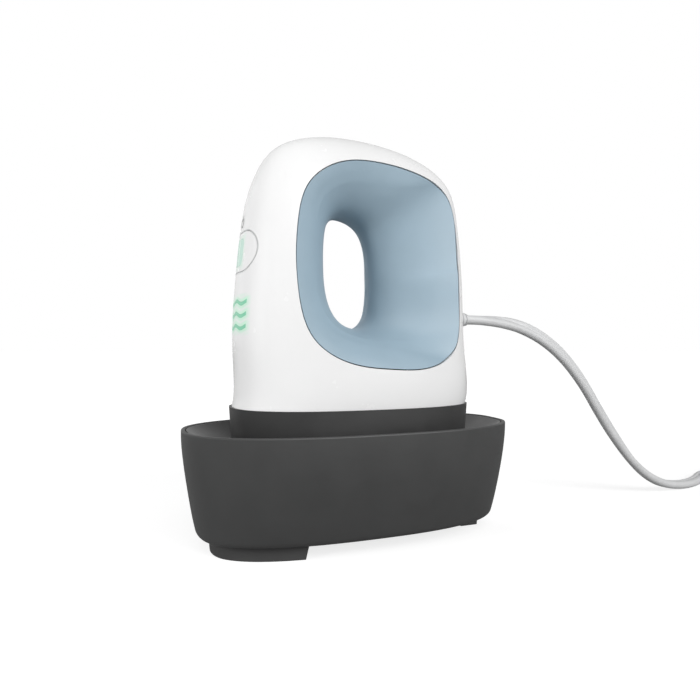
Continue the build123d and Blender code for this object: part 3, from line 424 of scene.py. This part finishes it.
def coil_run():
    """The put-away turns: inwards on the table, then outwards on top of them."""
    cx, cy = coil_centre
    turned = coil_laps * 360 + coil_entry - coil_exit
    span = turned / 2 / 360 * coil_pitch
    low, high = cord_thickness / 2, cord_thickness * 1.5
    run = []
    for i in range(coil_points + 1):
        share = i / coil_points
        inward = 1 - abs(2 * share - 1)
        radius = coil_mid_radius + span / 2 - span * inward
        climb = min(1.0, max(0.0, (share - climb_start) / climb_length))
        degrees = coil_entry - turned * share
        angle = radians(degrees)
        from_tie = radius * radians((degrees - tie_angle + 180) % 360 - 180)
        lift = tie_thickness * exp(-(from_tie / tie_width) ** 2)
        height = low + (high - low) * climb + lift
        run.append((cx + radius * cos(angle), cy + radius * sin(angle), height))
    return run


def lead_run(coil_end):
    """From the end of the coil into the neck of the plug."""
    x, y, z = coil_end
    low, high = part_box("plug_body")
    neck_x, neck_z = high.x / MM, (low.z + high.z) / 2 / MM
    return [
        (x - lead_straight, y, z),
        (neck_x + neck_before, y, (z + neck_z) / 2),
        (neck_x - neck_inside, y, neck_z),
    ]


def smooth_line(points):
    """Points along the smooth line that a route's control points give, in metres."""
    curve = bpy.data.curves.new("route", "CURVE")
    curve.dimensions = "3D"
    curve.resolution_u = line_steps
    spline = curve.splines.new("NURBS")
    spline.points.add(len(points) - 1)
    for point, place in zip(spline.points, points):
        point.co = (*(value * MM for value in place), 1)
    spline.order_u = 3
    spline.use_endpoint_u = True
    holder = bpy.data.objects.new("route", curve)
    mesh = bpy.data.meshes.new_from_object(holder)
    line = [vertex.co.copy() for vertex in mesh.vertices]
    bpy.data.meshes.remove(mesh)
    bpy.data.objects.remove(holder)
    bpy.data.curves.remove(curve)
    return line


def cord_profile(angle):
    """Point of the grooved twin section, (sideways, upwards), for an angle round it."""
    core = cord_thickness / 2
    reach = cord_width / 2 - core
    across = (reach + core) * cos(angle)
    beyond = max(0.0, abs(across) - reach)
    height = sqrt(max(0.0, core ** 2 - beyond ** 2))
    height -= groove_depth * exp(-(across / groove_width) ** 2)
    return across * MM, height * MM * (1 if sin(angle) >= 0 else -1)


def eased(value, start, end):
    """0 before the start, 1 after the end and a smooth rise between them."""
    share = min(1.0, max(0.0, (value - start) / (end - start)))
    return share * share * (3 - 2 * share)


def cord_twist(point):
    """How far the wide side is turned from level while the cord hangs."""
    x = point.x / MM
    return radians(hanging_twist) * (eased(x, *twist_starts) - eased(x, *twist_ends))


def sweep_cord(line):
    """Twin flat cord along a line, twisted where it hangs and level where it lies."""
    section = [cord_profile(2 * pi * (k + 0.5) / profile_points)
               for k in range(profile_points)]
    bm = bmesh.new()
    bmesh.ops.create_circle(bm, cap_ends=False, segments=profile_points, radius=MM)
    ring, edges = list(bm.verts), list(bm.edges)
    first = edges
    for i, point in enumerate(line):
        ahead = line[min(i + 1, len(line) - 1)] - line[max(i - 1, 0)]
        side = Vector((-ahead.y, ahead.x, 0)).normalized()
        up = ahead.normalized().cross(side)
        twist = Matrix.Rotation(cord_twist(point), 3, ahead)
        side, up = twist @ side, twist @ up
        if i:
            ring, edges = next_ring(bm, edges)
        for vertex, (across, height) in zip(ring, section):
            vertex.co = point + side * across + up * height
    bmesh.ops.holes_fill(bm, edges=first + edges, sides=profile_points)
    return bm


def make_cord(plug, strap):
    """The whole cord in one piece, from inside the strain relief into the plug."""
    coil = coil_run()
    line = smooth_line(free_run + coil + lead_run(coil[-1]))
    cord = finish_piece(sweep_cord(line), "mains_cord", "press", "cord_grey", sharp=60)
    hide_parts("cord", "cord_coil", "plug_lead")


# ---------------------------------------------------------------- ribbed mouldings
def pressed_out(value, power):
    """A cosine or sine, pressed outwards for the corners of a superellipse."""
    return abs(value) ** (2 / power) * (1 if value >= 0 else -1)


def rings_along_x(stations, place, points=48):
    """Closed tube on a line along X, of superellipses (x, width, height, power)."""
    y, z = place
    bm = bmesh.new()
    bmesh.ops.create_circle(bm, cap_ends=False, segments=points, radius=MM)
    ring, edges = list(bm.verts), list(bm.edges)
    first = edges
    for i, (x, width, height, power) in enumerate(stations):
        if i:
            ring, edges = next_ring(bm, edges)
        for k, vertex in enumerate(ring):
            angle = 2 * pi * k / points
            across = pressed_out(cos(angle), power) * width / 2
            rise = pressed_out(sin(angle), power) * height / 2
            vertex.co = (x * MM, (y + across) * MM, (z + rise) * MM)
    bmesh.ops.holes_fill(bm, edges=first + edges, sides=points)
    return bm


def smaller(size, less):
    """A (width, height) that is smaller by another."""
    return [value - cut for value, cut in zip(size, less)]


def ribs(start, end, first, last, shape):
    """Stations of a row of ribs along X, from one (width, height) to another."""
    pitch = (end - start) / shape["count"]
    floor_start, floor_end = shape["floor"]
    depth, power = shape["depth"], shape["power"]
    stations = []
    for k in range(shape["count"]):
        x = start + pitch * k
        share = (k + shape["middle"]) / shape["count"]
        wide, tall = (a + (b - a) * share for a, b in zip(first, last))
        stations += [
            (x + floor_start, wide - depth, tall - depth, power),
            (x + floor_end, wide - depth, tall - depth, power),
            (x + shape["top"], wide, tall, power),
            (x + pitch - shape["gap"], wide - shape["narrower"], tall - shape["lower"], power),
        ]
    return stations


# Each rib starts with a groove. Its floor lies between two places along the rib, and is
# smaller across by depth. From top on the rib has its full size, and at its end, a gap
# before the next one, it is a little narrower and lower. Middle is the share of a rib's
# length at which its size is taken, and power the squareness of its section.
round_power = 2.0
boot_root = 8.2                # across the plain end inside the housing
boot_edge = (0.4, 0.8)         # length of its rounded edge, and how much less across it is
boot_ribs_start = 42.5         # along X
boot_nose = (6.6, 4.6)
boot_tip = (0.6, 0.7)          # how much narrower and lower the very end is
boot_ribs = {"count": 3, "floor": (0.1, 0.45), "depth": 0.8, "top": 0.6, "gap": 0.15,
             "narrower": 0.2, "lower": 0.4, "middle": 0.6, "power": round_power}
plug_front = (23.0, 12.6)      # width and height
plug_length = 27.0             # without its neck
plug_shoulder = 14.85          # length of its plain part
plug_edge = ((0.0, 2.6), (0.35, 1.0), (1.2, 0.0))   # back from its face, and less across
plug_power = 5.0
plug_back = (10.6, 9.0)
plug_collar = 1.2              # from the last rib to the neck
plug_end = (0.6, 0.4)          # how much narrower and lower it is there
plug_end_power = 3.5
plug_ribs = {"count": 6, "floor": (0.3, 0.7), "depth": 1.1, "top": 0.95, "gap": 0.1,
             "narrower": 0.3, "lower": 0.2, "middle": 0.5, "power": 4.5}
neck_root = 8.2
neck_end = 5.4
neck_tip = 1.0                 # how much less across the very end is
neck_step = 0.3                # from the plug's end to the neck's full root
neck_step_power = 2.2
neck_plain = 0.8               # from the plug's end to the neck's first groove
neck_ribs = {"count": 7, "floor": (0.2, 0.6), "depth": 1.4, "top": 0.8, "gap": 0.1,
             "narrower": 0.2, "lower": 0.2, "middle": 0.5, "power": round_power}


def make_boot():
    """Ribbed strain relief, tapering out of the back of the housing."""
    low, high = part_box("strain_relief")
    start, end = low.x / MM, high.x / MM
    root = (boot_root, boot_root)
    edge, less = boot_edge
    stations = [
        (start, boot_root - less, boot_root - less, round_power),
        (start + edge, *root, round_power),
        (boot_ribs_start, *root, round_power),
        *ribs(boot_ribs_start, end, root, boot_nose, boot_ribs),
        (end, *smaller(boot_nose, boot_tip), round_power),
    ]
    bm = rings_along_x(stations, (0.0, free_run[0][2]))
    boot = finish_piece(bm, "strain_relief_boot", "press", "cord_grey", sharp=50)
    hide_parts("strain_relief")


def make_plug():
    """Moulded flat plug with grip ribs and a segmented neck."""
    low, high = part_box("plug_body")
    face, end = low.x / MM, high.x / MM
    ribs_start, neck_start = face + plug_shoulder, face + plug_length
    stations = [
        *((face + back, *smaller(plug_front, (less, less)), plug_power)
          for back, less in plug_edge),
        (ribs_start, *plug_front, plug_power),
        *ribs(ribs_start, neck_start - plug_collar, plug_front, plug_back, plug_ribs),
        (neck_start, *smaller(plug_back, plug_end), plug_end_power),
        (neck_start + neck_step, neck_root, neck_root, neck_step_power),
        *ribs(neck_start + neck_plain, end, (neck_root,) * 2, (neck_end,) * 2, neck_ribs),
        (end, neck_end - neck_tip, neck_end - neck_tip, round_power),
    ]
    middle = (low.y + high.y) / 2 / MM, (low.z + high.z) / 2 / MM
    bm = rings_along_x(stations, middle)
    plug = finish_piece(bm, "plug_moulding", "press", "cord_grey", sharp=50)
    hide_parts("plug_body")
    return plug


# ---------------------------------------------------------------- strap round the coil
tie_reach = 3.9                # pitches of the coil inside it, besides one cord's width
tie_slack = 0.2                # over the two layers
tie_corner = 1.6
lap_length = 0.55              # of the strap's span
lap_width = 0.96               # of the strap's width
lap_shift = 0.06               # of the strap's span, outwards
lap_rise = 1.45                # from the strap's inside to the lap's middle, in thicknesses
lap_corner = 0.2
weave_scale = 2600.0           # threads to the metre
weave_depth = 0.1
weave_strength = 0.7
# dark in the dips of the weave and paler on its raised threads: painted shade
weave_shade_colours = ((0.012, 0.012, 0.013), (0.05, 0.05, 0.052))


def strap_weave():
    """Black woven hook-and-loop strap."""
    material, tree, shader = new_material("strap_weave")
    threads = tree.nodes.new("ShaderNodeTexVoronoi")
    threads.inputs["Scale"].default_value = weave_scale
    tree.links.new(surface_place(tree), threads.inputs["Vector"])
    height = threads.outputs["Distance"]
    normal = bump_normal(tree, height, weave_strength, weave_depth)
    # painted shade: the colour follows the weave's height, darker in its dips
    tree.links.new(two_tone(tree, height, *weave_shade_colours), shader.inputs["Base Color"])
    tree.links.new(normal, shader.inputs["Normal"])
    shader.inputs["Roughness"].default_value = 0.9
    return material


def make_tie():
    """Strap round the turns of the coil, with its end lapped on top."""
    angle = radians(tie_angle)
    span = coil_pitch * tie_reach + cord_width
    height = 2 * cord_thickness + tie_slack
    bm = bmesh.new()
    bmesh.ops.create_cube(bm, size=1.0)
    open_ends = [face for face in bm.faces if abs(face.normal.y) > 0.5]
    bmesh.ops.delete(bm, geom=open_ends, context="FACES")
    bmesh.ops.scale(bm, verts=bm.verts, vec=(span * MM, tie_width * MM, height * MM))
    round_edges(bm, [edge for edge in bm.edges if len(edge.link_faces) == 2], tie_corner, 5)
    bmesh.ops.recalc_face_normals(bm, faces=bm.faces)
    bmesh.ops.solidify(bm, geom=list(bm.faces), thickness=-tie_thickness * MM)
    lap = bmesh.ops.create_cube(bm, size=1.0)["verts"]
    lap_size = (span * lap_length * MM, tie_width * lap_width * MM, tie_thickness * MM)
    bmesh.ops.scale(bm, verts=lap, vec=lap_size)
    lap_height = height / 2 + lap_rise * tie_thickness
    bmesh.ops.translate(bm, verts=lap, vec=(span * lap_shift * MM, 0, lap_height * MM))
    round_edges(bm, [edge for edge in bm.edges if edge.verts[0] in lap], lap_corner, 2)
    cx, cy = coil_centre
    place = (cx + coil_mid_radius * cos(angle), cy + coil_mid_radius * sin(angle),
             tie_thickness + height / 2)
    bmesh.ops.rotate(bm, verts=bm.verts, matrix=Matrix.Rotation(angle, 3, "Z"))
    bmesh.ops.translate(bm, verts=bm.verts, vec=Vector(place) * MM)
    strap = finish_piece(bm, "coil_strap", "press", "black_plastic", sharp=40)
    strap.data.materials[0] = strap_weave()
    return strap


# ---------------------------------------------------------------- printed power mark
mark_height = 108.6
mark_radius = 1.75
mark_stroke = 0.42
mark_proud = 0.03
mark_gap = 0.62                # half the open angle at its top, in radians
mark_look = ((0.16, 0.165, 0.165), (0.2, 0.205, 0.205), (0.4, 0.5))
stem_rise = 0.8                # of the radius, from the ring's middle to the stem's
ray_start = -100.0             # along X, well in front of the housing
flat_to_front = Matrix((       # from flat, seen from above, to upright, seen from -X
    (0, 0, 1, 0), (1, 0, 0, 0), (0, 1, 0, mark_height * MM), (0, 0, 0, 1)))


def drape_on_front(bm, proud):
    """Lays flat geometry on the front of the housing, a little proud of it."""
    view = bpy.context.evaluated_depsgraph_get()
    shell = BVHTree.FromObject(nodes["housing_shell"], view)
    for vertex in bm.verts:
        start = Vector((ray_start * MM, vertex.co.y, vertex.co.z))
        place = shell.ray_cast(start, Vector((1, 0, 0)))[0]
        vertex.co = place - Vector((proud * MM, 0, 0))


def make_power_mark():
    """Ring that is open at its top and a stem in the opening, printed on the front."""
    bm = bmesh.new()
    bmesh.ops.create_circle(bm, cap_ends=False, segments=48, radius=mark_radius * MM)
    inner, _ = next_ring(bm, list(bm.edges))
    share = 1 - mark_stroke / mark_radius
    bmesh.ops.scale(bm, verts=inner, vec=(share, share, 1))
    top = Vector((0, 1, 0))
    gone = [face for face in bm.faces if face.calc_center_median().angle(top) < mark_gap]
    bmesh.ops.delete(bm, geom=gone, context="FACES")
    stem = bmesh.ops.create_grid(bm, x_segments=2, y_segments=6, size=0.5)["verts"]
    bmesh.ops.scale(bm, verts=stem, vec=(mark_stroke * MM, mark_radius * MM, 1))
    bmesh.ops.translate(bm, verts=stem, vec=(0, mark_radius * stem_rise * MM, 0))
    bmesh.ops.transform(bm, matrix=flat_to_front, verts=bm.verts)
    drape_on_front(bm, mark_proud)
    bmesh.ops.solidify(bm, geom=list(bm.faces), thickness=mark_proud * MM)
    mark = finish_piece(bm, "power_mark", "press", "ring_grey", sharp=40)
    mark.data.materials[0] = moulded("mark_ink", *mark_look)


make_boot()
make_cord(make_plug(), make_tie())
make_power_mark()

# ---------------------------------------------------------------- floor and light
floor_half = 20.0              # metres
floor_grey = 0.4
floor_fade = (0.2, 0.7)        # metres from the middle: near, and far
floor_shine = (0.78, 1.0)      # what the camera sees of the floor's own light, near and far
world_light = 0.09
mirror_light = 0.6             # what shiny surfaces mirror of the white surroundings
lamp_size = 0.5                # metres
lamp_aim = Vector((0, 0, 90 * MM))


def add_floor():
    """Plain floor that takes the shadow and goes over into the white surroundings."""
    bm = bmesh.new()
    bmesh.ops.create_grid(bm, x_segments=1, y_segments=1, size=floor_half)
    mesh = bpy.data.meshes.new("floor")
    bm.to_mesh(mesh)
    bm.free()
    floor = bpy.data.objects.new("floor", mesh)
    bpy.context.scene.collection.objects.link(floor)
    material, tree, shader = new_material("floor_white")
    shader.inputs["Base Color"].default_value = (floor_grey, floor_grey, floor_grey, 1)
    shader.inputs["Roughness"].default_value = 0.9
    shader.inputs["Specular IOR Level"].default_value = 0.0
    shader.inputs["Emission Color"].default_value = (1, 1, 1, 1)
    x, y, _ = surface_xyz(tree)
    squares = reckon(tree, "MULTIPLY", x, x), reckon(tree, "MULTIPLY", y, y)
    away = reckon(tree, "SQRT", reckon(tree, "ADD", *squares))
    shine = ranged(tree, away, *floor_fade, *floor_shine)
    seen = tree.nodes.new("ShaderNodeLightPath").outputs["Is Camera Ray"]
    tree.links.new(reckon(tree, "MULTIPLY", seen, shine), shader.inputs["Emission Strength"])
    mesh.materials.append(material)


def add_world():
    """White surroundings, full to the camera and weaker as light and in mirrors."""
    world = bpy.data.worlds.new("studio")
    bpy.context.scene.world = world
    world.use_nodes = True
    tree = world.node_tree
    sky = tree.nodes["Background"]
    sky.inputs["Color"].default_value = (1, 1, 1, 1)
    path = tree.nodes.new("ShaderNodeLightPath")
    mirrored = reckon(tree, "MULTIPLY", path.outputs["Is Glossy Ray"], mirror_light)
    seen = reckon(tree, "MAXIMUM", path.outputs["Is Camera Ray"], mirrored)
    tree.links.new(ranged(tree, seen, 0, 1, world_light, 1.0), sky.inputs["Strength"])


def add_lamp(name, around, above, power, mirrored=True):
    """Soft square lamp a metre off: round from -Y towards -X, and up."""
    data = bpy.data.lights.new(name, "AREA")
    data.size = lamp_size
    data.energy = power
    lamp = bpy.data.objects.new(name, data)
    turn, rise = radians(around), radians(above)
    towards = Vector((-sin(turn) * cos(rise), -cos(turn) * cos(rise), sin(rise)))
    lamp.location = lamp_aim + towards
    lamp.rotation_euler = (-towards).to_track_quat("-Z", "Y").to_euler()
    lamp.visible_glossy = mirrored
    bpy.context.scene.collection.objects.link(lamp)


add_floor()
add_world()
add_lamp("key", 13, 38, 3.1)
add_lamp("left", 85, 10, 6.4, mirrored=False)
add_lamp("right", -25, 20, 6.4)
add_lamp("back", 160, 14, 3.6, mirrored=False)
bpy.context.scene.view_settings.view_transform = "Standard"
